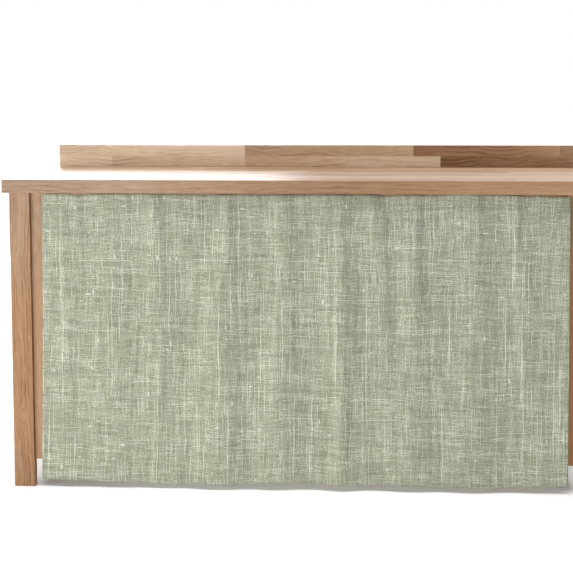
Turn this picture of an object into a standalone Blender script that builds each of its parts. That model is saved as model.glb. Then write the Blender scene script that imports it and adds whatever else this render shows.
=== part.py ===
"""A sink skirt: one panel of cloth hung across the front of a plain wooden counter table.

Metres, +Z up. The counter stands on Z = 0, centred on X and Y, and its front looks towards -Y.
The skirt hangs from the front rail, just under the worktop.
"""

from collections import namedtuple

import bmesh
import bpy
import numpy as np

# The counter.
COUNTER_WIDTH = 1.730
COUNTER_DEPTH = 0.635
COUNTER_HEIGHT = 0.900
WORKTOP_THICKNESS = 0.038
BOARD_EASE = 0.0020  # the rounding of the edges of the worktop and the side panels
UPSTAND_HEIGHT = 0.073
UPSTAND_THICKNESS = 0.020
SEAT_GAP = 0.0003  # what touching pieces keep between them

# The legs are flat boards, set in from the worktop's ends and from its front and rear edges.
LEG_WIDTH = 0.060
LEG_DEPTH = 0.024
LEG_INSET = 0.0145
LEG_SETBACK = 0.022
LEG_EASE = 0.0020

# The side panels stand against the legs, clear of the floor, with the rails between them.
PANEL_THICKNESS = 0.050
PANEL_SETBACK = 0.028
PANEL_FLOOR_GAP = 0.080
RAIL_SETBACK = 0.028
RAIL_HEIGHT = 0.070
RAIL_THICKNESS = 0.020
RAIL_EASE = 0.0010

# The skirt.
CLOTH_THICKNESS = 0.002
SKIRT_LEFT = 0.7555  # from the counter's middle to the heading's left corner
SKIRT_RIGHT = 0.7475  # and to its right one
LEFT_FLARE = 0.0145  # how far the hem's left corner swings out past the heading
RIGHT_FLARE = 0.0050
FLARE_POWER = 1.6
HEADING_DROP = 0.0037  # how far the heading's edge hangs below the worktop, on average
HEM_HEIGHT = 0.018  # the hem's mean height above the floor
RAIL_CLEARANCE = 0.0025  # how far the cloth leans away from the rail once it hangs free
LEAN_DROP = 0.05  # the share of the drop in which it does so
HEADING_RISE = 0.45  # the share of a fold's depth that the flat heading leaves it
PINCH_DROP = 0.07  # the share of the drop in which the folds reach their depth
SKIRT_COLUMNS = 132
SKIRT_ROWS = 12

# A fold is a ridge that stands out from the cloth: the middle of its crest, its half width and its
# depth, each at the heading and at the hem.
Fold = namedtuple("Fold", "x_top x_hem half_top half_hem depth_top depth_hem")
FOLDS = (
    Fold(-0.700, -0.690, 0.028, 0.036, 0.0018, 0.0025),
    Fold(-0.555, -0.545, 0.036, 0.050, 0.0025, 0.0050),
    Fold(-0.432, -0.410, 0.026, 0.050, 0.0055, 0.0045),
    Fold(-0.222, -0.256, 0.025, 0.078, 0.0060, 0.0140),
    Fold(-0.054, -0.086, 0.025, 0.060, 0.0060, 0.0110),
    Fold(0.104, 0.106, 0.028, 0.046, 0.0050, 0.0130),
    Fold(0.198, 0.238, 0.024, 0.040, 0.0060, 0.0010),
    Fold(0.312, 0.308, 0.028, 0.060, 0.0065, 0.0110),
    Fold(0.492, 0.480, 0.036, 0.078, 0.0060, 0.0125),
    Fold(0.603, 0.665, 0.025, 0.045, 0.0060, 0.0055),
    Fold(0.752, 0.770, 0.045, 0.055, 0.0060, 0.0095),
)

# Where an edge of the cloth rises or dips from its level: the middle, the half width and the lift.
Wave = namedtuple("Wave", "x half lift")
HEADING_WAVES = (
    Wave(-0.655, 0.035, -0.0030),
    Wave(-0.240, 0.080, -0.0010),
    Wave(0.236, 0.022, -0.0035),
    Wave(0.445, 0.050, 0.0034),
    Wave(0.626, 0.020, -0.0020),
    Wave(0.740, 0.070, -0.0035),
)
HEM_WAVES = (
    Wave(-0.760, 0.100, 0.0030),
    Wave(-0.360, 0.140, -0.0055),
    Wave(-0.040, 0.080, 0.0050),
    Wave(0.150, 0.050, -0.0020),
    Wave(0.240, 0.050, 0.0020),
    Wave(0.450, 0.160, -0.0010),
    Wave(0.750, 0.070, 0.0060),
)

# Colour, roughness and metallic value of each finish.
Finish = namedtuple("Finish", "colour roughness metallic")
FINISHES = {
    "skirt": Finish((0.40, 0.43, 0.33), 0.95, 0.0),
    "worktop": Finish((0.45, 0.30, 0.20), 0.50, 0.0),
    "upstand": Finish((0.48, 0.33, 0.22), 0.50, 0.0),
    "leg": Finish((0.47, 0.31, 0.19), 0.55, 0.0),
    "side_panel": Finish((0.44, 0.30, 0.19), 0.55, 0.0),
    "rail": Finish((0.42, 0.28, 0.18), 0.60, 0.0),
}

FRONT = -COUNTER_DEPTH / 2
REAR = COUNTER_DEPTH / 2
WORKTOP_UNDERSIDE = COUNTER_HEIGHT - WORKTOP_THICKNESS
PANEL_OUTER = COUNTER_WIDTH / 2 - LEG_INSET - LEG_WIDTH - SEAT_GAP
PANEL_INNER = PANEL_OUTER - PANEL_THICKNESS


def clear_scene():
    for obj in list(bpy.data.objects):
        bpy.data.objects.remove(obj, do_unlink=True)


def new_collection(name):
    collection = bpy.data.collections.new(name)
    bpy.context.scene.collection.children.link(collection)
    return collection


def make_material(name, finish):
    """A plain Principled finish."""
    material = bpy.data.materials.new(name)
    material.use_nodes = True
    shader = material.node_tree.nodes["Principled BSDF"]
    shader.inputs["Base Color"].default_value = (*finish.colour, 1.0)
    shader.inputs["Roughness"].default_value = finish.roughness
    shader.inputs["Metallic"].default_value = finish.metallic
    return material


def add_object(name, mesh, collection, finish_name):
    """Links a new object that holds the mesh, with its own material."""
    obj = bpy.data.objects.new(name, mesh)
    obj.data.materials.append(make_material(name, FINISHES[finish_name]))
    collection.objects.link(obj)
    return obj


def add_board(name, low, high, ease, collection, finish_name):
    """A straight board between two corners, with its edges eased."""
    low, high = np.array(low), np.array(high)
    mesh = bpy.data.meshes.new(name)
    cube = bmesh.new()
    bmesh.ops.create_cube(cube, size=1.0)
    bmesh.ops.scale(cube, vec=high - low, verts=cube.verts)
    cube.to_mesh(mesh)
    cube.free()
    obj = add_object(name, mesh, collection, finish_name)
    obj.location = (low + high) / 2
    bevel = obj.modifiers.new("eased edges", "BEVEL")
    bevel.width = ease
    bevel.segments = 2
    return obj


def make_worktop(collection):
    half = COUNTER_WIDTH / 2
    low = (-half, FRONT, WORKTOP_UNDERSIDE)
    high = (half, REAR, COUNTER_HEIGHT)
    add_board("worktop", low, high, BOARD_EASE, collection, "worktop")


def make_upstand(collection):
    half = COUNTER_WIDTH / 2
    low = (-half, REAR - UPSTAND_THICKNESS, COUNTER_HEIGHT + SEAT_GAP)
    high = (half, REAR, COUNTER_HEIGHT + UPSTAND_HEIGHT)
    add_board("upstand", low, high, RAIL_EASE, collection, "upstand")


def make_legs(collection):
    """Four flat legs from the floor to the worktop's underside, with their broad sides to the front."""
    outer = COUNTER_WIDTH / 2 - LEG_INSET
    sides = {"left": -outer, "right": outer - LEG_WIDTH}
    ends = {"front": FRONT + LEG_SETBACK, "rear": REAR - LEG_SETBACK - LEG_DEPTH}
    for end, y in ends.items():
        for side, x in sides.items():
            low = (x, y, 0.0)
            high = (x + LEG_WIDTH, y + LEG_DEPTH, WORKTOP_UNDERSIDE - SEAT_GAP)
            add_board(f"leg_{end}_{side}", low, high, LEG_EASE, collection, "leg")


def make_side_panels(collection):
    """Two upright boards against the legs' inner edges, clear of the floor."""
    for side, x in (("left", -PANEL_OUTER), ("right", PANEL_INNER)):
        low = (x, FRONT + PANEL_SETBACK, PANEL_FLOOR_GAP)
        high = (x + PANEL_THICKNESS, REAR - PANEL_SETBACK, WORKTOP_UNDERSIDE - SEAT_GAP)
        add_board(f"side_panel_{side}", low, high, BOARD_EASE, collection, "side_panel")


def make_rails(collection):
    """The front and rear rails, between the side panels and under the worktop."""
    half = PANEL_INNER - SEAT_GAP
    top = WORKTOP_UNDERSIDE - SEAT_GAP
    for end, y in (("front", FRONT + RAIL_SETBACK), ("rear", REAR - PANEL_SETBACK - RAIL_THICKNESS)):
        low = (-half, y, top - RAIL_HEIGHT)
        high = (half, y + RAIL_THICKNESS, top)
        add_board(f"{end}_rail", low, high, RAIL_EASE, collection, "rail")


def bell(x, middle, half):
    """A smooth hump: 1 at its middle, 1/e at half a width from it."""
    return np.exp(-(((x - middle) / half) ** 2))


def ramp(share, length):
    """Rises smoothly from 0 to 1 while share goes from 0 to length."""
    reached = np.clip(share / length, 0.0, 1.0)
    return reached * reached * (3.0 - 2.0 * reached)


def blend(first, last, share):
    return first + (last - first) * share


def fold_depth(x, fallen):
    """How far the folds stand out at a place x across, with the share fallen of the drop above it."""
    depth = np.zeros_like(x)
    for fold in FOLDS:
        crest = blend(fold.x_top, fold.x_hem, fallen)
        half = blend(fold.half_top, fold.half_hem, fallen)
        height = blend(fold.depth_top, fold.depth_hem, fallen)
        depth += height * bell(x, crest, half)
    return depth * blend(HEADING_RISE, 1.0, ramp(fallen, PINCH_DROP))


def edge_height(x, level, waves):
    """The height of one edge of the cloth: its level, and the waves in it."""
    return level + sum(wave.lift * bell(x, wave.x, wave.half) for wave in waves)


def skirt_points(across, fallen):
    """The middle of the cloth, at shares of its width from the left and of its drop from the heading."""
    left = -SKIRT_LEFT - LEFT_FLARE * fallen**FLARE_POWER
    right = SKIRT_RIGHT + RIGHT_FLARE * fallen
    x = blend(left, right, across)
    rail_face = FRONT + RAIL_SETBACK
    hung = rail_face - SEAT_GAP - CLOTH_THICKNESS / 2
    y = hung - RAIL_CLEARANCE * ramp(fallen, LEAN_DROP) - fold_depth(x, fallen)
    heading = edge_height(x, WORKTOP_UNDERSIDE - SEAT_GAP - HEADING_DROP, HEADING_WAVES)
    hem = edge_height(x, HEM_HEIGHT, HEM_WAVES)
    return np.stack([x, y, blend(heading, hem, fallen)], axis=1)


def make_skirt(collection):
    """The cloth: a grid laid over its middle surface, thickened to both sides."""
    mesh = bpy.data.meshes.new("skirt")
    grid = bmesh.new()
    bmesh.ops.create_grid(grid, x_segments=SKIRT_COLUMNS, y_segments=SKIRT_ROWS, size=1.0)
    flat = np.array([vertex.co for vertex in grid.verts])
    hung = skirt_points((flat[:, 0] + 1.0) / 2, (1.0 - flat[:, 1]) / 2)
    for vertex, place in zip(grid.verts, hung):
        vertex.co = place
    grid.to_mesh(mesh)
    grid.free()
    obj = add_object("skirt", mesh, collection, "skirt")
    thickness = obj.modifiers.new("cloth thickness", "SOLIDIFY")
    thickness.thickness = CLOTH_THICKNESS
    thickness.offset = 0.0
    mesh.shade_smooth()


def main():
    clear_scene()
    collection = new_collection("sink_skirt_counter")
    make_worktop(collection)
    make_upstand(collection)
    make_legs(collection)
    make_side_panels(collection)
    make_rails(collection)
    make_skirt(collection)


main()
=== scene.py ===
"""The finish of the sink skirt and its counter: linen-look cloth, oiled wood, floor, light, camera."""

import math
from collections import namedtuple

import bpy
import numpy as np
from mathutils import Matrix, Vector


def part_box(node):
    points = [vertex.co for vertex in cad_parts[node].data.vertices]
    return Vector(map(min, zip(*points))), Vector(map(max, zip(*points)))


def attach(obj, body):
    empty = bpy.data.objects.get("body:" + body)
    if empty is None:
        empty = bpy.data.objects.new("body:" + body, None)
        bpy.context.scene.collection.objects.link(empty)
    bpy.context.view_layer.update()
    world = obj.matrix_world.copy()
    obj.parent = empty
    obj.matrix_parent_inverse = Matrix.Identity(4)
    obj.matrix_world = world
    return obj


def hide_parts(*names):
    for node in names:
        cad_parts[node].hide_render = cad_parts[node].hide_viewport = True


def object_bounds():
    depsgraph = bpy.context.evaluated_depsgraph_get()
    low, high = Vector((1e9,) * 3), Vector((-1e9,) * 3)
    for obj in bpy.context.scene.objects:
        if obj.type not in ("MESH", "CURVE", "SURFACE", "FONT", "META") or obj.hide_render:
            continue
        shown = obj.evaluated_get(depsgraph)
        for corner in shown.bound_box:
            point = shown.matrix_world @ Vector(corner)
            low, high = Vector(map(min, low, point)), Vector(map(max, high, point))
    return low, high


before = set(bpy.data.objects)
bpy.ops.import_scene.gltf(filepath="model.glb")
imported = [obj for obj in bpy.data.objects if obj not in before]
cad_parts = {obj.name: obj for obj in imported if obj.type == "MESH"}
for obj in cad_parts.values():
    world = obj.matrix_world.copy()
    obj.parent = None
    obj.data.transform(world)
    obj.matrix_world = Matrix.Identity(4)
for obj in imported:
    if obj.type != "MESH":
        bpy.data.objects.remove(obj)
CAD_LOW, CAD_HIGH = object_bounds()

# ------------------------------------------------------------------ places, from the frame
WORKTOP_LOW, WORKTOP_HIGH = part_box("worktop")
RAIL_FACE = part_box("front_rail")[0].y
FRONT = WORKTOP_LOW.y
WORKTOP_UNDERSIDE = WORKTOP_LOW.z
COUNTER_MIDDLE = (CAD_LOW.x + CAD_HIGH.x) / 2

# ------------------------------------------------------------------ the cloth's sizes
SEAT_GAP = 0.0003  # what touching pieces keep between them
SOLID_THICKNESS = 0.002  # of the solid that the cloth stands for
CLOTH_THICKNESS = 0.0014
FLAT_WIDTH = 1.530  # as cut, before it was gathered to its heading
FLAT_DROP = 0.845
CLOTH_LEFT = 0.7555  # from the counter's middle to the heading's left corner
CLOTH_RIGHT = 0.7475  # and to its right one
LEFT_FLARE = 0.0145  # how far the hem's left corner swings out past the heading
RIGHT_FLARE = 0.0050
FLARE_POWER = 1.6
HEADING_DROP = 0.0037  # how far the heading's edge hangs below the worktop, on average
HEADING_SAG = 0.0005  # at most twice this between its fixings
SAG_TURNS = (61.0, 149.0)  # how fast its two waves turn, in radians to the metre
HEM_HEIGHT = 0.018  # the hem's mean height above the floor
HEM_FOLD = 0.012  # the width of the turned hem and side hems
HEM_EDGE = 0.0008  # how softly the turned hem ends
STITCH = 0.003  # from the start of one stitch to the start of the next
STITCH_INSET = 0.0016  # how far inside the turned hem's edge the stitches run
STITCH_WIDTH = 0.0008
STITCH_SOFT = 0.0002  # how softly a stitch ends at its sides
RAIL_CLEARANCE = 0.0025  # how far the cloth leans away from the rail once it hangs free
LEAN_DROP = 0.05  # the share of the drop in which it does so
HEADING_RISE = 0.45  # the share of a fold's depth that the flat heading leaves it
PINCH_DROP = 0.07  # the share of the drop in which the folds reach their depth
CLOTH_COLUMNS = 400
CLOTH_ROWS = 96

# A fold is a ridge that stands out from the cloth: the middle of its crest, its half width and its
# depth, each at the heading and at the hem.
Fold = namedtuple("Fold", "x_top x_hem half_top half_hem depth_top depth_hem")
FOLDS = (
    Fold(-0.700, -0.690, 0.028, 0.036, 0.0018, 0.0025),
    Fold(-0.555, -0.545, 0.036, 0.050, 0.0025, 0.0050),
    Fold(-0.432, -0.410, 0.026, 0.050, 0.0055, 0.0045),
    Fold(-0.222, -0.256, 0.025, 0.078, 0.0060, 0.0140),
    Fold(-0.054, -0.086, 0.025, 0.060, 0.0060, 0.0110),
    Fold(0.104, 0.106, 0.028, 0.046, 0.0050, 0.0130),
    Fold(0.198, 0.238, 0.024, 0.040, 0.0060, 0.0010),
    Fold(0.312, 0.308, 0.028, 0.060, 0.0065, 0.0110),
    Fold(0.492, 0.480, 0.036, 0.078, 0.0060, 0.0125),
    Fold(0.603, 0.665, 0.025, 0.045, 0.0060, 0.0055),
    Fold(0.752, 0.770, 0.045, 0.055, 0.0060, 0.0095),
)

# A crease is a narrower soft ridge on the folds, steeper on one side than on the other: the middle
# of its crest at its two ends, its half width to the left and to the right, its depth, and the
# shares of the drop between which it runs.
Crease = namedtuple("Crease", "x_upper x_lower left right depth upper lower")
CREASES = (
    Crease(-0.604, -0.566, 0.030, 0.012, 0.0012, 0.30, 1.20),
    Crease(-0.424, -0.418, 0.030, 0.009, 0.0020, -0.20, 0.24),
    Crease(-0.326, -0.320, 0.010, 0.024, 0.0012, -0.20, 0.30),
    Crease(-0.224, -0.214, 0.026, 0.013, 0.0024, -0.20, 0.40),
    Crease(-0.060, -0.050, 0.030, 0.014, 0.0020, -0.20, 0.45),
    Crease(0.095, 0.104, 0.100, 0.018, 0.0034, -0.20, 0.62),
    Crease(0.105, 0.112, 0.034, 0.020, 0.0020, 0.30, 1.20),
    Crease(0.184, 0.192, 0.040, 0.011, 0.0038, -0.20, 0.26),
    Crease(0.310, 0.322, 0.030, 0.014, 0.0026, -0.20, 0.60),
    Crease(0.489, 0.488, 0.024, 0.010, 0.0030, -0.20, 0.28),
    Crease(0.590, 0.602, 0.040, 0.009, 0.0046, -0.20, 0.40),
)

# Where an edge of the cloth rises or dips from its level: the middle, the half width and the lift.
Wave = namedtuple("Wave", "x half lift")
HEADING_WAVES = (
    Wave(-0.655, 0.035, -0.0030),
    Wave(-0.240, 0.080, -0.0010),
    Wave(0.236, 0.022, -0.0035),
    Wave(0.445, 0.050, 0.0034),
    Wave(0.626, 0.020, -0.0020),
    Wave(0.740, 0.070, -0.0035),
)
HEM_WAVES = (
    Wave(-0.760, 0.100, 0.0030),
    Wave(-0.360, 0.140, -0.0055),
    Wave(-0.040, 0.080, 0.0050),
    Wave(0.150, 0.050, -0.0020),
    Wave(0.240, 0.050, 0.0020),
    Wave(0.450, 0.160, -0.0010),
    Wave(0.750, 0.070, 0.0060),
)

# ------------------------------------------------------------------ light and camera
LIGHT_LEVEL = 1.20  # what falls on the counter's front in all, where 1 shows a white surface as white
WALL_LIGHT = 0.16  # what each part of the walls gives
CEILING_LIGHT = 0.96  # on the floor
FLOOR_REACH = 40.0  # from the counter to the floor's edges
CEILING_SPREAD = math.radians(40.0)
CEILING_TILT = math.radians(4.5)  # so that it lights the counter's front a little

# A square soft box: its place, the length of its side, and what it gives the face it looks at.
SoftBox = namedtuple("SoftBox", "name place size level")
SOFT_BOXES = (
    SoftBox("left soft box", (-5.4, -3.0, 0.60), 1.9, 0.365),
    SoftBox("low fill", (-0.6, -4.6, 0.40), 1.4, 0.085),
    SoftBox("back window", (-1.7, 4.4, 1.5), 2.6, 0.40),
)
WORKTOP_LAMP = SoftBox("worktop lamp", (-0.35, FRONT, 2.0), 0.5, 0.30)

LENS = 70.94
SENSOR = 36.0
SHIFT_X = -0.060
SHIFT_Y = -0.180
CAMERA_RIGHT = 0.1796  # how far the camera stands to the right of the counter's middle
CAMERA_DISTANCE = 3.1632  # from the worktop's front edge
CAMERA_HEIGHT = 1.1352
CAMERA_TURN = math.radians(2.413)  # to the left
CAMERA_PITCH = math.radians(4.388)  # downwards


# ------------------------------------------------------------------ shader maths
class Wire:
    """A shader socket that takes part in Python sums: each operator adds its Math node."""

    def __init__(self, nodes, socket):
        self.nodes = nodes
        self.socket = socket

    def __add__(self, other):
        return self.nodes.math("ADD", self, other)

    def __sub__(self, other):
        return self.nodes.math("SUBTRACT", self, other)

    def __rsub__(self, other):
        return self.nodes.math("SUBTRACT", other, self)

    def __mul__(self, other):
        return self.nodes.math("MULTIPLY", self, other)

    def __truediv__(self, other):
        return self.nodes.math("DIVIDE", self, other)

    __radd__ = __add__
    __rmul__ = __mul__


Relief = namedtuple("Relief", "height strength")  # how high a bump stands, and how strongly it shows


OBJECT_PLACE = 3  # the output of a Texture Coordinate node that gives Object coordinates


class Finish:
    """One material's nodes."""

    def __init__(self, name):
        self.material = bpy.data.materials.new(name)
        self.material.use_nodes = True
        self.tree = self.material.node_tree
        self.shader = self.tree.nodes["Principled BSDF"]

    def add(self, kind, settings=None, inputs=None, output=0):
        """Adds a node: its settings first, then a value or a link for each socket that is named."""
        node = self.tree.nodes.new(kind)
        for name, value in (settings or {}).items():
            if name == "stops":
                self.set_stops(node.color_ramp, value)
            else:
                setattr(node, name, value)
        for name, value in (inputs or {}).items():
            self.feed(node.inputs[name], value)
        return Wire(self, node.outputs[output])

    def feed(self, socket, value):
        if isinstance(value, Wire):
            self.tree.links.new(value.socket, socket)
        else:
            socket.default_value = value

    @staticmethod
    def set_stops(ramp, stops):
        while len(ramp.elements) < len(stops):
            ramp.elements.new(1.0)
        for element, (place, colour) in zip(ramp.elements, stops):
            element.position = place
            element.color = (*colour, 1.0)

    def math(self, operation, *values):
        return self.add("ShaderNodeMath", {"operation": operation}, dict(enumerate(values)))

    def split(self, vector):
        """The three parts of a vector."""
        node = self.add("ShaderNodeSeparateXYZ", {}, {0: vector}).socket.node
        return [Wire(self, output) for output in node.outputs]

    def noise(self, x, y, z, detail=0.0, roughness=0.5):
        """Soft noise between 0 and 1, about 1 unit to a lump."""
        place = self.add("ShaderNodeCombineXYZ", {}, {0: x, 1: y, 2: z})
        sockets = {"Vector": place, "Scale": 1.0, "Detail": detail, "Roughness": roughness}
        return self.add("ShaderNodeTexNoise", {}, sockets)

    def step(self, value, low, high):
        """Rises smoothly from 0 at low to 1 at high."""
        sockets = {"Value": value, "From Min": low, "From Max": high}
        return self.add("ShaderNodeMapRange", {"interpolation_type": "SMOOTHSTEP"}, sockets)

    def ramp(self, value, stops):
        return self.add("ShaderNodeValToRGB", {"stops": stops}, {0: value})

    def layered(self, u, v, layers):
        """A sum of noises on the flat cloth, each swinging about 0 by its share."""
        total = 0.0
        for layer in layers:
            x, y = u * layer.across, v * layer.down
            lumps = self.noise(x, y, layer.seed, layer.detail, layer.roughness)
            total = layer.share * (lumps - 0.5) + total
        return total

    def mix(self, first, second, share):
        """A share of the second colour in the first, by the Mix node's colour sockets."""
        sockets = {0: share, 6: first, 7: second}
        return self.add("ShaderNodeMix", {"data_type": "RGBA"}, sockets, output=2)

    def bump(self, height, relief, under=None):
        sockets = {"Height": height, "Distance": relief.height, "Strength": relief.strength}
        if under is not None:
            sockets["Normal"] = under
        return self.add("ShaderNodeBump", {}, sockets)

    def surface(self, **sockets):
        """Sets the shader's sockets, whose names are given with _ for each space."""
        for name, value in sockets.items():
            self.feed(self.shader.inputs[name.replace("_", " ")], value)


def shown(red, green, blue):
    """The paint that looks like this colour (0 to 255, as on a screen) under the studio's light."""
    shares = np.array([red, green, blue]) / 255.0
    linear = np.where(shares <= 0.04045, shares / 12.92, ((shares + 0.055) / 1.055) ** 2.4)
    return tuple(linear / LIGHT_LEVEL)


# ------------------------------------------------------------------ the linen look
# One set of pale threads: the direction that they run in, the pitch of their lanes, how far a thread
# runs before it fades (metres), the noise that starts and fully shows it, and its strength.
Threads = namedtuple("Threads", "way pitch run starts shows strength")
THREADS = (
    Threads("warp", 0.0050, 0.110, 0.53, 0.62, 0.47),
    Threads("weft", 0.0050, 0.110, 0.53, 0.62, 0.45),
    Threads("warp", 0.0044, 0.030, 0.50, 0.58, 0.34),
    Threads("weft", 0.0044, 0.030, 0.50, 0.58, 0.34),
    Threads("warp", 0.0058, 0.500, 0.61, 0.67, 0.70),
)
THREAD_EDGE = 1.5  # how far a thread's brightness, 1 in its middle, falls to the sides of its lane
THREAD_LEAST = 0.4  # the strength of a set's faintest lane
LANE_APART = 7.37  # how far apart in the noise two neighbouring lanes lie
FIRST_SEED = 13.0
SEED_STEP = 14.0

# One layer of soft noise on the flat cloth: its lumps to the metre across and down, a number that
# makes it its own, its detail and roughness, and its share.
Layer = namedtuple("Layer", "across down seed detail roughness share")
# How far the threads wander sideways from straight, in metres: the warp across, the weft up and down.
WARP_DRIFT = (Layer(4.0, 11.0, 11.0, 1.0, 0.5, 0.010), Layer(60.0, 48.0, 14.0, 0.0, 0.5, 0.0028))
WEFT_DRIFT = (Layer(11.0, 4.0, 12.0, 1.0, 0.5, 0.010), Layer(48.0, 60.0, 15.0, 0.0, 0.5, 0.0028))
# Where the weave is busy and where it is calm.
PATCHES = (
    Layer(34.0, 9.0, 71.0, 1.0, 0.5, 0.60),
    Layer(10.0, 34.0, 73.0, 1.0, 0.5, 0.50),
    Layer(15.0, 15.0, 79.0, 2.0, 0.5, 0.70),
)
PATCH_EDGE = 0.16  # how far from its middle the patches' noise is fully calm or fully busy
# Single yarns, and broader bands of paler and darker ones.
YARNS = (
    Layer(200.0, 16.0, 1.0, 1.0, 0.6, 0.50),
    Layer(20.0, 200.0, 2.0, 1.0, 0.6, 0.48),
    Layer(235.0, 235.0, 3.0, 0.0, 0.5, 0.64),
)
BANDS = (
    Layer(60.0, 3.0, 4.0, 2.0, 0.6, 0.50),
    Layer(6.0, 65.0, 5.0, 2.0, 0.6, 0.42),
)
# Slubs are the peaks of two noises, and greyer places those of a third.
SLUBS = (
    Layer(110.0, 40.0, 9.0, 0.0, 0.5, 1.0),
    Layer(40.0, 120.0, 10.0, 0.0, 0.5, 1.0),
)
SLUB_STARTS = 0.30  # how far above its middle the noise starts a slub
SLUB_SHOWS = 0.35
GREYER = (Layer(40.0, 26.0, 21.0, 2.0, 0.5, 1.0),)
GREYER_STARTS = 0.09
GREYER_SHOWS = 0.26

# The cloth's tone, from dark 0 to light 1: its middle, how much yarns and pale threads add, and how
# much more they add where the weave is busy than where it is calm.
MIDDLE_TONE = 0.42
YARN_TONE = 0.93
YARN_BUSY = 0.40
PALE_TONE = 1.06
PALE_BUSY = 0.50
BUSY_TONE = 0.04
SLUB_TONE = 0.30
STITCH_TONE = 0.05
CLOTH_COLOURS = (
    (0.00, shown(121, 126, 106)),
    (0.23, shown(144, 148, 127)),
    (0.37, shown(158, 162, 140)),
    (0.50, shown(172, 176, 154)),
    (0.68, shown(190, 193, 171)),
    (0.84, shown(206, 209, 188)),
    (1.00, shown(224, 226, 208)),
)
CLOTH_GREY = (*shown(172, 174, 165), 1.0)
SLUB_WHITE = (*shown(236, 238, 226), 1.0)
GREY_SHARE = 0.60
WHITE_SHARE = 0.60

WEAVE_PITCH = 0.0012
HEM_RELIEF = Relief(0.0006, 0.6)
STITCH_SINK = 0.5  # how deep a stitch lies, where the doubled hem stands up by 1
THREAD_RELIEF = Relief(0.0006, 0.5)
WEAVE_RELIEF = Relief(0.0002, 0.25)


def thread_lanes(finish, across, along, threads, seed):
    """Pale threads that come and go in lanes: bright along a lane's middle, dark at its sides.

    Slow noise along each lane, different in every lane, shows the thread where it is high.
    """
    lanes = across / threads.pitch
    lane = finish.math("FLOOR", lanes)
    middle = 1.0 - THREAD_EDGE * finish.math("ABSOLUTE", finish.math("FRACT", lanes) * 2.0 - 1.0)
    lot = finish.add("ShaderNodeTexWhiteNoise", {"noise_dimensions": "1D"}, {"W": lane + seed})
    strength = THREAD_LEAST + (1.0 - THREAD_LEAST) * lot
    drift = finish.noise(lane * LANE_APART + 0.5, along / threads.run, seed + 0.37, detail=1.0)
    return finish.step(drift, threads.starts, threads.shows) * middle * strength


def pale_threads(finish, u, v):
    """All the sets of pale threads, one on the other."""
    pale = 0.0
    for number, threads in enumerate(THREADS):
        across, along = (u, v) if threads.way == "warp" else (v, u)
        lanes = thread_lanes(finish, across, along, threads, FIRST_SEED + SEED_STEP * number)
        pale = lanes * threads.strength + pale
    return pale


def hem_seam(finish, flat_u, flat_v):
    """The turned hems: 1 on the doubled cloth at the foot and the sides, and the stitches that hold it.

    The stitches are short dashes, half a stitch long, in a line along each hem's inner edge.
    """
    side = finish.math("MINIMUM", flat_u, FLAT_WIDTH - flat_u)
    inside = finish.math("MINIMUM", side, flat_v)
    doubled = 1.0 - finish.step(inside, HEM_FOLD, HEM_FOLD + HEM_EDGE)
    beside = finish.math("ABSOLUTE", inside - (HEM_FOLD - STITCH_INSET))
    line = 1.0 - finish.step(beside, STITCH_WIDTH / 2 - STITCH_SOFT, STITCH_WIDTH / 2 + STITCH_SOFT)
    dash = finish.step(finish.math("SINE", (flat_u + flat_v) * (math.tau / STITCH)), -0.3, 0.3)
    return doubled, line * dash


def make_linen():
    """Linen-look cloth: a fine weave in which pale and dark threads of all lengths show both ways."""
    finish = Finish("sage linen")
    flat = finish.add("ShaderNodeUVMap", {"uv_map": "flat cloth"})
    flat_u, flat_v, _ = finish.split(flat)
    u = flat_u + finish.layered(flat_u, flat_v, WARP_DRIFT)
    v = flat_v + finish.layered(flat_u, flat_v, WEFT_DRIFT)
    busy = finish.step(finish.layered(u, v, PATCHES), -PATCH_EDGE, PATCH_EDGE) - 0.5
    slubs = 0.0
    for layer in SLUBS:
        slubs = finish.step(finish.layered(u, v, (layer,)), SLUB_STARTS, SLUB_SHOWS) + slubs
    yarn = finish.layered(u, v, YARNS) * (YARN_TONE + YARN_BUSY * busy)
    pale = pale_threads(finish, u, v) * (PALE_TONE + PALE_BUSY * busy)
    bands = finish.layered(u, v, BANDS)
    tone = MIDDLE_TONE + yarn + pale + bands + BUSY_TONE * busy + SLUB_TONE * slubs
    doubled, stitches = hem_seam(finish, flat_u, flat_v)
    colour = finish.ramp(tone + STITCH_TONE * stitches, CLOTH_COLOURS)
    greyer = finish.step(finish.layered(u, v, GREYER), GREYER_STARTS, GREYER_SHOWS)
    colour = finish.mix(colour, CLOTH_GREY, GREY_SHARE * greyer)
    colour = finish.mix(colour, SLUB_WHITE, WHITE_SHARE * slubs)
    warp_wave = finish.math("SINE", flat_u * (math.tau / WEAVE_PITCH))
    weft_wave = finish.math("SINE", flat_v * (math.tau / WEAVE_PITCH))
    relief = finish.bump(doubled - STITCH_SINK * stitches, HEM_RELIEF)
    relief = finish.bump(tone, THREAD_RELIEF, under=relief)
    relief = finish.bump(warp_wave * weft_wave, WEAVE_RELIEF, under=relief)
    finish.surface(Base_Color=colour, Roughness=0.92, Specular_IOR_Level=0.2, Normal=relief)
    return finish.material


# ------------------------------------------------------------------ the wood
PALE_WOOD = (
    (0.00, shown(100, 66, 40)),
    (0.22, shown(132, 98, 70)),
    (0.44, shown(168, 137, 110)),
    (0.62, shown(188, 163, 138)),
    (0.80, shown(206, 180, 153)),
    (1.00, shown(230, 208, 184)),
)
WARM_WOOD = (
    (0.00, shown(104, 66, 34)),
    (0.22, shown(138, 99, 64)),
    (0.44, shown(171, 131, 96)),
    (0.62, shown(190, 152, 117)),
    (0.80, shown(208, 176, 142)),
    (1.00, shown(232, 208, 180)),
)

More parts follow.
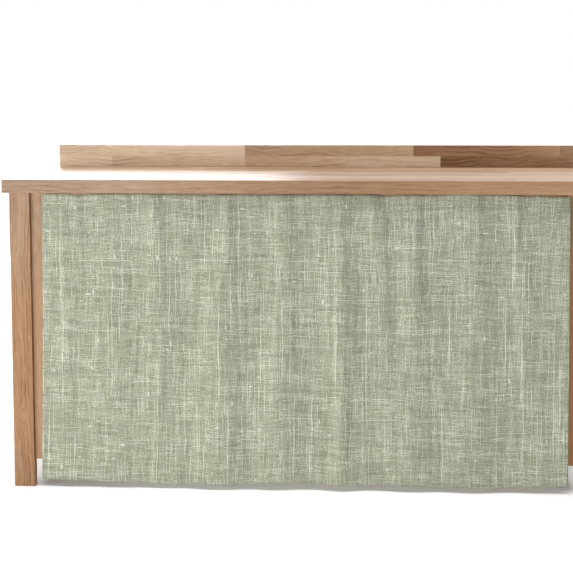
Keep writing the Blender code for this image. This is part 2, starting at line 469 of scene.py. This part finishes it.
# Painted shade: the warm dark brown of the shaded joint between a leg and a side panel, laid on the
# leg's side.
JOINT_SHADE_COLOUR = (*shown(158, 88, 26), 1.0)
JOINT_SHADE_SHARE = 0.8
JOINT_SHADE_REACH = 0.0006  # how far from the joint the painted shade reaches on the leg
JOINT_SHADE_EDGE = 0.0010  # how softly that ends
# A warm brown: on the right side panel's front edge it is painted shade, on the worktop's front edge the
# wood's own warmth.
AMBER = (*shown(176, 122, 62), 1.0)
PANEL_SHADE_AMBER = 0.6  # its share in the right side panel's front edge, as painted shade
WORKTOP_AMBER = 0.11  # and in the right half of the worktop's

# A board's look: the axis that its grain runs along, its tone from dark 0 to light 1, how much
# darker it is a metre further along X or down, the spacing of its growth lines, how often and how
# far they sway, how strongly they show, and a number that makes its figure its own.
Look = namedtuple("Look", "grain tone fade pitch wave sway lines seed")
LOOKS = {
    "worktop": Look(0, 0.45, 0.00, 0.0050, 2.0, 0.014, 0.08, 1.0),
    # The upstand pales along X, partly painted light that makes up for the light falling off towards the
    # right.
    "upstand": Look(0, 0.92, -0.55, 0.0058, 4.5, 0.017, 0.15, 2.0),
    "front_rail": Look(0, 0.34, 0.00, 0.0070, 2.0, 0.030, 0.12, 3.0),
    "rear_rail": Look(0, 0.40, 0.00, 0.0070, 2.0, 0.030, 0.12, 4.0),
    "leg_front_left": Look(2, 0.36, 0.17, 0.0085, 3.0, 0.026, 0.15, 5.0),
    "leg_front_right": Look(2, 0.38, 0.10, 0.0080, 3.0, 0.030, 0.15, 6.0),
    "leg_rear_left": Look(2, 0.42, 0.10, 0.0075, 2.0, 0.040, 0.15, 7.0),
    "leg_rear_right": Look(2, 0.40, 0.10, 0.0080, 2.0, 0.040, 0.15, 8.0),
    "side_panel_left": Look(2, 0.51, 0.04, 0.0060, 1.4, 0.022, 0.11, 9.0),
    # The right side panel's lower tone is partly painted shade.
    "side_panel_right": Look(2, 0.40, 0.10, 0.0060, 1.4, 0.022, 0.11, 10.0),
}

# A knot that the growth lines bend round: the board, its height, how far it is from the board's
# left side, its half width, and how far it pushes the lines.
Knot = namedtuple("Knot", "board height inset half push")
KNOT_LENGTH = 2.6  # how much longer than wide a knot's push is
KNOTS = (
    Knot("leg_front_left", 0.205, 0.024, 0.012, 0.018),
    Knot("leg_rear_right", 0.520, 0.035, 0.010, 0.015),
)

# The staves that the upstand is glued up from: the row, lower 0 or upper 1, where each starts along X,
# and how much lighter or darker it is than the board. The darker staves to the right are partly painted
# shade.
Stave = namedtuple("Stave", "row start shade")
UPSTAND_STAVES = (
    Stave(1, -0.870, 0.30),
    Stave(1, -0.235, -0.27),
    Stave(1, 0.330, -0.80),
    Stave(1, 0.815, -1.00),
    Stave(0, -0.870, 0.32),
    Stave(0, -0.685, 0.15),
    Stave(0, -0.235, -0.08),
    Stave(0, 0.420, -1.00),
)
STAVE_JOINT = 0.0004  # half the width over which one stave passes into the next
UPPER_FIGURE_SHIFT = 5.3  # sets the upper row's figure apart from the lower one's

WORKTOP_STAVE = 0.046  # the width of the worktop's staves
STAVE_LENGTH = 0.62
STAVE_PHASE = 0.1  # where the first row of staves starts, in widths
STAVE_CONTRAST = 0.30  # between the worktop's darkest stave and its palest
STAVE_FIGURE_SHIFT = 7.7  # sets one stave's figure apart from the next one's
FACE_DEPTH = 0.002  # how deep a board's front edge keeps its own tone
FACE_EDGE = 0.001  # how softly that ends
TOP_TONE = 0.04  # how much paler the worktop's top is than its front edge, partly a painted sheen
TOP_COOLNESS = 0.7  # how much of its warmth the top loses, partly a painted sheen

# Where a board's tone changes slowly along its length: from and to which place, and by how much. On the
# worktop the rise towards the right is partly painted light, making up for the light falling off there.
Change = namedtuple("Change", "start end amount")
WORKTOP_CHANGES = (
    Change(-0.60, 0.10, -0.17),
    Change(0.00, 0.80, 0.24),
)
WARMTH_ALONG = (-0.9, 0.5)  # from cool to warm along a board that lies
COOLNESS_UP = (0.50, 0.86)  # from warm to cooler up a board that stands
UPPER_COOLNESS = 0.7  # how much of its warmth it loses
WORKTOP_AMBER_ALONG = (-0.50, 0.30)  # from none to all of the worktop's amber

# The figure of the wood: the shares of fibres, growth lines and pores in its tone, the fineness of
# each along the grain and across it, in lumps to the metre, and the noise that starts and shows it.
FIBRE_TONE = 0.50
FIBRE_FINENESS = (22.0, 260.0)
LINE_TONE = 2.4
LINE_FINENESS = (4.0, 50.0)
LINE_SHOWS = (0.34, 0.66)
PORE_TONE = 0.06
PORE_FINENESS = (38.0, 900.0)
PORE_SHOWS = (0.63, 0.74)
DRIFT_TONE = 0.22
DRIFT_FINENESS = (2.0, 8.0)
SWAY_FINENESS = 3.0
YEAR_FINENESS = (0.6, 60.0)
YEAR_JITTER = 1.6  # how much the years differ, in years
YEAR_END = 0.82  # the share of a year after which its line pales again
GRAIN_SLANT = 0.4  # how far the growth lines lean as they go into a board
WOOD_TONE = 0.05  # what every board's tone gains
BOARD_APART = (3.1, 0.37, 0.53)  # how far apart in the noise two boards lie, for each step of seed
WOOD_ROUGHNESS = 0.36
FIGURE_GLOSS = 0.25  # how much smoother a pale fibre is than a dark pore
GRAIN_RELIEF = Relief(0.0006, 0.3)


def stave_shade(finish, place):
    """The upstand's staves: each joint adds its step in tone to the row that it is in, partly the wood's
    own tone and partly painted shade.
    """
    low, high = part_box("upstand")
    joint = (low.z + high.z) / 2
    upper = finish.step(place[2], joint - STAVE_JOINT, joint + STAVE_JOINT)
    shades = []
    for row in (0, 1):
        shade = 0.0
        before = 0.0
        for stave in UPSTAND_STAVES:
            if stave.row != row:
                continue
            reached = finish.step(place[0], stave.start - STAVE_JOINT, stave.start + STAVE_JOINT)
            shade = reached * (stave.shade - before) + shade
            before = stave.shade
        shades.append(shade)
    return shades[0] + upper * (shades[1] - shades[0]), upper


def knot_push(finish, place, node):
    """How far a knot pushes the growth lines aside: most at its middle, fading to nothing round it."""
    push = 0.0
    for knot in KNOTS:
        if knot.board != node:
            continue
        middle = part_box(node)[0].x + knot.inset
        wide = (place[0] - middle) / knot.half
        tall = (place[2] - knot.height) / (knot.half * KNOT_LENGTH)
        push = finish.math("EXPONENT", 0.0 - wide * wide - tall * tall) * knot.push + push
    return push


def painted_joint_shade(finish, place, node):
    """1 on the side of a leg that a side panel stands against, where a warm dark brown is painted as the
    shade in the joint.
    """
    low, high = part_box(node)
    inner = min(abs(low.x), abs(high.x))
    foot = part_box("side_panel_left")[0].z
    outward = finish.math("ABSOLUTE", place[0])
    beside = 1.0 - finish.step(outward, inner + JOINT_SHADE_REACH, inner + JOINT_SHADE_REACH + JOINT_SHADE_EDGE)
    return beside * finish.step(place[2], foot - JOINT_SHADE_EDGE, foot + JOINT_SHADE_EDGE)


def behind_face(finish, place, node):
    """0 on a board's front face, and 1 on all that lies behind it."""
    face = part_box(node)[0].y
    return finish.step(place[1], face + FACE_DEPTH, face + FACE_DEPTH + FACE_EDGE)


def worktop_shade(finish, place, top):
    """The worktop's staves, each its own shade on the top, and the slow change of tone along X, partly
    painted light.

    Rows of staves run along X, each row shifted by its own lot. A stave's lot gives its shade too,
    and shifts its figure. The odd numbers only keep the lots apart.
    """
    row = finish.math("FLOOR", place[1] / WORKTOP_STAVE + STAVE_PHASE)
    shift = finish.add("ShaderNodeTexWhiteNoise", {"noise_dimensions": "1D"}, {"W": row + 3.0})
    stave = finish.math("FLOOR", place[0] / STAVE_LENGTH + shift) + 17.0 * row
    lot = finish.add("ShaderNodeTexWhiteNoise", {"noise_dimensions": "1D"}, {"W": stave + 0.5})
    shade = STAVE_CONTRAST * top * (lot - 0.5) + TOP_TONE * top
    for change in WORKTOP_CHANGES:
        shade = shade + change.amount * finish.step(place[0], change.start, change.end)
    return shade, STAVE_FIGURE_SHIFT * top * lot


def wood_figure(finish, look, along, across, depth, push):
    """Growth lines that run along the board and sway, with fine fibres and dark pores among them.

    Each line darkens slowly from one side and pales again fast, as the wood of a year does.
    """
    fine = SWAY_FINENESS
    sway = finish.noise(along * look.wave, across * fine, depth * fine, detail=2.0) - 0.5
    bent = across + GRAIN_SLANT * depth + look.sway * 2.0 * sway + push
    run, fine = YEAR_FINENESS
    jitter = finish.noise(along * run, bent * fine, look.seed, detail=1.0) - 0.5
    late = finish.math("FRACT", bent / look.pitch + YEAR_JITTER * jitter)
    line = late * late * (1.0 - finish.step(late, YEAR_END, 1.0))
    run, fine = LINE_FINENESS
    strength = finish.noise(along * run, bent * fine, look.seed + 40.0, detail=1.0)
    shows = finish.step(strength, *LINE_SHOWS)
    run, fine = FIBRE_FINENESS
    fibres = finish.noise(along * run, bent * fine, depth * fine, detail=2.0, roughness=0.6) - 0.5
    run, fine = PORE_FINENESS
    pores = finish.step(finish.noise(along * run, bent * fine, depth * fine), *PORE_SHOWS)
    return FIBRE_TONE * fibres - look.lines * LINE_TONE * line * shows - PORE_TONE * pores


def make_board_wood(node):
    """Oiled solid wood for one board, with its grain along one axis, cooler to the left or the top."""
    look = LOOKS[node]
    finish = Finish("oiled wood " + node.replace("_", " "))
    place = finish.split(finish.add("ShaderNodeTexCoord", output=OBJECT_PLACE))
    along, across, depth = (
        place[(look.grain + turn) % 3] + look.seed * apart for turn, apart in enumerate(BOARD_APART)
    )
    lies = look.grain == 0
    if lies:
        shade = look.tone - look.fade * place[0]
        warm = finish.step(place[0], *WARMTH_ALONG)
    else:
        shade = look.tone + look.fade * place[2]
        warm = 1.0 - UPPER_COOLNESS * finish.step(place[2], *COOLNESS_UP)
    if node == "upstand":
        staves, upper = stave_shade(finish, place)
        shade = shade + staves
        along = along + UPPER_FIGURE_SHIFT * upper
    if node == "worktop":
        top = behind_face(finish, place, node)
        staves, shift = worktop_shade(finish, place, top)
        shade = shade + staves
        along = along + shift
        # The top is paler and cooler, partly a painted sheen.
        warm = warm * (1.0 - TOP_COOLNESS * top)
    figure = wood_figure(finish, look, along, across, depth, knot_push(finish, place, node))
    run, fine = DRIFT_FINENESS
    drift = finish.noise(along * run, across * fine, depth * fine, detail=1.0) - 0.5
    level = shade + WOOD_TONE + figure + DRIFT_TONE * drift
    colour = finish.mix(finish.ramp(level, PALE_WOOD), finish.ramp(level, WARM_WOOD), warm)
    # Painted shade on the leg's side where a side panel stands against it.
    if node.startswith("leg"):
        colour = finish.mix(colour, JOINT_SHADE_COLOUR, JOINT_SHADE_SHARE * painted_joint_shade(finish, place, node))
    # The right side panel's front edge gets painted shade, a warm brown.
    if node == "side_panel_right":
        colour = finish.mix(colour, AMBER, PANEL_SHADE_AMBER * (1.0 - behind_face(finish, place, node)))
    if node == "worktop":
        right = finish.step(place[0], *WORKTOP_AMBER_ALONG)
        colour = finish.mix(colour, AMBER, WORKTOP_AMBER * (1.0 - top) * right)
    finish.surface(Base_Color=colour, Roughness=WOOD_ROUGHNESS - FIGURE_GLOSS * figure,
                   Specular_IOR_Level=0.5 if lies else 0.25, Normal=finish.bump(figure, GRAIN_RELIEF))
    return finish.material


def make_floor():
    """A plain pale floor."""
    corners = [(x * FLOOR_REACH, y * FLOOR_REACH, 0.0) for x, y in ((-1, -1), (1, -1), (1, 1), (-1, 1))]
    mesh = bpy.data.meshes.new("floor")
    mesh.from_pydata(corners, [], [(0, 1, 2, 3)])
    finish = Finish("pale floor")
    finish.surface(Base_Color=(0.93, 0.93, 0.93, 1.0), Roughness=0.9)
    mesh.materials.append(finish.material)
    floor = bpy.data.objects.new("floor", mesh)
    bpy.context.scene.collection.objects.link(floor)


# ------------------------------------------------------------------ the cloth's shape
def bell(x, middle, half):
    """A smooth hump: 1 at its middle, 1/e at half a width from it."""
    return np.exp(-(((x - middle) / half) ** 2))


def ramp(share, length):
    """Rises smoothly from 0 to 1 while share goes from 0 to length."""
    reached = np.clip(share / length, 0.0, 1.0)
    return reached * reached * (3.0 - 2.0 * reached)


def blend(first, last, share):
    return first + (last - first) * share


def fold_depth(x, fallen):
    """How far the folds stand out at a place x across, with the share fallen of the drop above it."""
    depth = np.zeros_like(x)
    for fold in FOLDS:
        crest = blend(fold.x_top, fold.x_hem, fallen)
        half = blend(fold.half_top, fold.half_hem, fallen)
        height = blend(fold.depth_top, fold.depth_hem, fallen)
        depth += height * bell(x, crest, half)
    return depth * blend(HEADING_RISE, 1.0, ramp(fallen, PINCH_DROP))


def crease_depth(x, fallen):
    """How far the creases add to the folds: each swells and fades again along its own run."""
    depth = np.zeros_like(x)
    for crease in CREASES:
        run = np.clip((fallen - crease.upper) / (crease.lower - crease.upper), 0.0, 1.0)
        middle = blend(crease.x_upper, crease.x_lower, run)
        half = np.where(x < middle, crease.left, crease.right)
        depth += crease.depth * np.sin(math.pi * run) ** 2 * bell(x, middle, half)
    return depth


def edge_height(x, level, waves):
    """The height of one edge of the cloth: its level, and the waves in it."""
    return level + sum(wave.lift * bell(x, wave.x, wave.half) for wave in waves)


def heading_sag(x):
    """How far the heading's edge sags between its fixings: the product of two sines, kept above 0."""
    return HEADING_SAG * (np.sin(x * SAG_TURNS[0]) * np.sin(x * SAG_TURNS[1] + 1.0) + 1.0)


def cloth_points(across, fallen):
    """The middle of the cloth, at shares of its width from the left and of its drop from the heading.

    Across runs straight from the left edge to the right one, both of which swing out towards the
    hem. The cloth hangs just in front of the rail, and the folds' depth brings it further forward.
    """
    left = -CLOTH_LEFT - LEFT_FLARE * fallen**FLARE_POWER
    right = CLOTH_RIGHT + RIGHT_FLARE * fallen
    x = blend(left, right, across)
    hung = RAIL_FACE - SEAT_GAP - SOLID_THICKNESS / 2
    y = hung - RAIL_CLEARANCE * ramp(fallen, LEAN_DROP) - fold_depth(x, fallen) - crease_depth(x, fallen)
    heading = edge_height(x, WORKTOP_UNDERSIDE - SEAT_GAP - HEADING_DROP, HEADING_WAVES) - heading_sag(x)
    hem = edge_height(x, HEM_HEIGHT, HEM_WAVES)
    return np.stack([x, y, blend(heading, hem, fallen)], axis=-1)


def surface_mesh(name, points, flat):
    """A mesh from a grid of points, rows by columns, with their places on the flat cloth as UVs."""
    rows, columns = points.shape[:2]
    index = np.arange(rows * columns).reshape(rows, columns)
    corners = (index[:-1, :-1], index[1:, :-1], index[1:, 1:], index[:-1, 1:])
    faces = np.stack([corner.ravel() for corner in corners], axis=1)
    mesh = bpy.data.meshes.new(name)
    mesh.from_pydata(points.reshape(-1, 3).tolist(), [], faces.tolist())
    loops = np.empty(len(mesh.loops), dtype=np.int32)
    mesh.loops.foreach_get("vertex_index", loops)
    layer = mesh.uv_layers.new(name="flat cloth")
    layer.data.foreach_set("uv", flat.reshape(-1, 2)[loops].astype(np.float32).ravel())
    mesh.shade_smooth()
    return mesh


def make_skirt():
    """The skirt: a fine grid on the cloth's middle surface, thickened to both sides."""
    shares = np.linspace(0, 1, CLOTH_COLUMNS + 1), np.linspace(0, 1, CLOTH_ROWS + 1)
    across, fallen = np.meshgrid(*shares)
    flat = np.stack([across * FLAT_WIDTH, (1 - fallen) * FLAT_DROP], axis=-1)
    mesh = surface_mesh("linen skirt", cloth_points(across, fallen), flat)
    mesh.materials.append(make_linen())
    skirt = bpy.data.objects.new("linen_skirt", mesh)
    bpy.context.scene.collection.objects.link(skirt)
    thickness = skirt.modifiers.new("cloth thickness", "SOLIDIFY")
    thickness.thickness = CLOTH_THICKNESS
    thickness.offset = 0.0
    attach(skirt, "root")
    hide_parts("skirt")


def finish_boards():
    """Gives every board of the counter its wood."""
    for name in LOOKS:
        wood = make_board_wood(name)
        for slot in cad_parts[name].material_slots:
            slot.material = wood


def make_camera():
    data = bpy.data.cameras.new("camera")
    data.lens = LENS
    data.sensor_width = SENSOR
    data.shift_x = SHIFT_X
    data.shift_y = SHIFT_Y
    camera = bpy.data.objects.new("camera", data)
    bpy.context.scene.collection.objects.link(camera)
    camera.location = (COUNTER_MIDDLE + CAMERA_RIGHT, FRONT - CAMERA_DISTANCE, CAMERA_HEIGHT)
    ahead = Vector((-math.sin(CAMERA_TURN), math.cos(CAMERA_TURN), -math.tan(CAMERA_PITCH)))
    camera.rotation_mode = "QUATERNION"
    camera.rotation_quaternion = ahead.to_track_quat("-Z", "Y")
    bpy.context.scene.camera = camera


def add_soft_box(box, aim, facing):
    """A soft box that looks at a place on a face, which looks along the axis facing."""
    path = aim - Vector(box.place)
    data = bpy.data.lights.new(box.name, "AREA")
    data.size = box.size
    data.energy = box.level * math.pi**2 * path.length**3 / abs(path[facing])
    light = bpy.data.objects.new(box.name, data)
    bpy.context.scene.collection.objects.link(light)
    light.location = box.place
    light.rotation_mode = "QUATERNION"
    light.rotation_quaternion = path.to_track_quat("-Z", "Y")
    light.visible_camera = False


def make_walls():
    """White walls, which look fully white but light soft surfaces more dimly than that."""
    world = bpy.data.worlds.new("studio")
    world.use_nodes = True
    nodes = world.node_tree.nodes
    walls = nodes["Background"]
    walls.inputs["Color"].default_value = (1.0, 1.0, 1.0, 1.0)
    ray = nodes.new("ShaderNodeLightPath")
    dim = nodes.new("ShaderNodeMapRange")
    dim.inputs["To Min"].default_value = 1.0
    dim.inputs["To Max"].default_value = WALL_LIGHT
    world.node_tree.links.new(ray.outputs["Is Diffuse Ray"], dim.inputs["Value"])
    world.node_tree.links.new(dim.outputs[0], walls.inputs["Strength"])
    bpy.context.scene.world = world


def make_lights():
    """A white studio: a broad ceiling light, the soft boxes before and behind, and a lamp above."""
    bpy.context.scene.view_settings.view_transform = "Standard"
    make_walls()
    data = bpy.data.lights.new("ceiling light", "SUN")
    data.energy = CEILING_LIGHT * math.pi
    data.angle = CEILING_SPREAD
    ceiling = bpy.data.objects.new("ceiling light", data)
    ceiling.rotation_euler = (CEILING_TILT, 0.0, 0.0)
    bpy.context.scene.collection.objects.link(ceiling)
    front_middle = Vector((COUNTER_MIDDLE, FRONT, WORKTOP_UNDERSIDE / 2))
    for box in SOFT_BOXES:
        add_soft_box(box, front_middle, facing=1)
    add_soft_box(WORKTOP_LAMP, Vector((COUNTER_MIDDLE, 0.0, WORKTOP_HIGH.z)), facing=2)


make_skirt()
finish_boards()
make_floor()
make_camera()
make_lights()
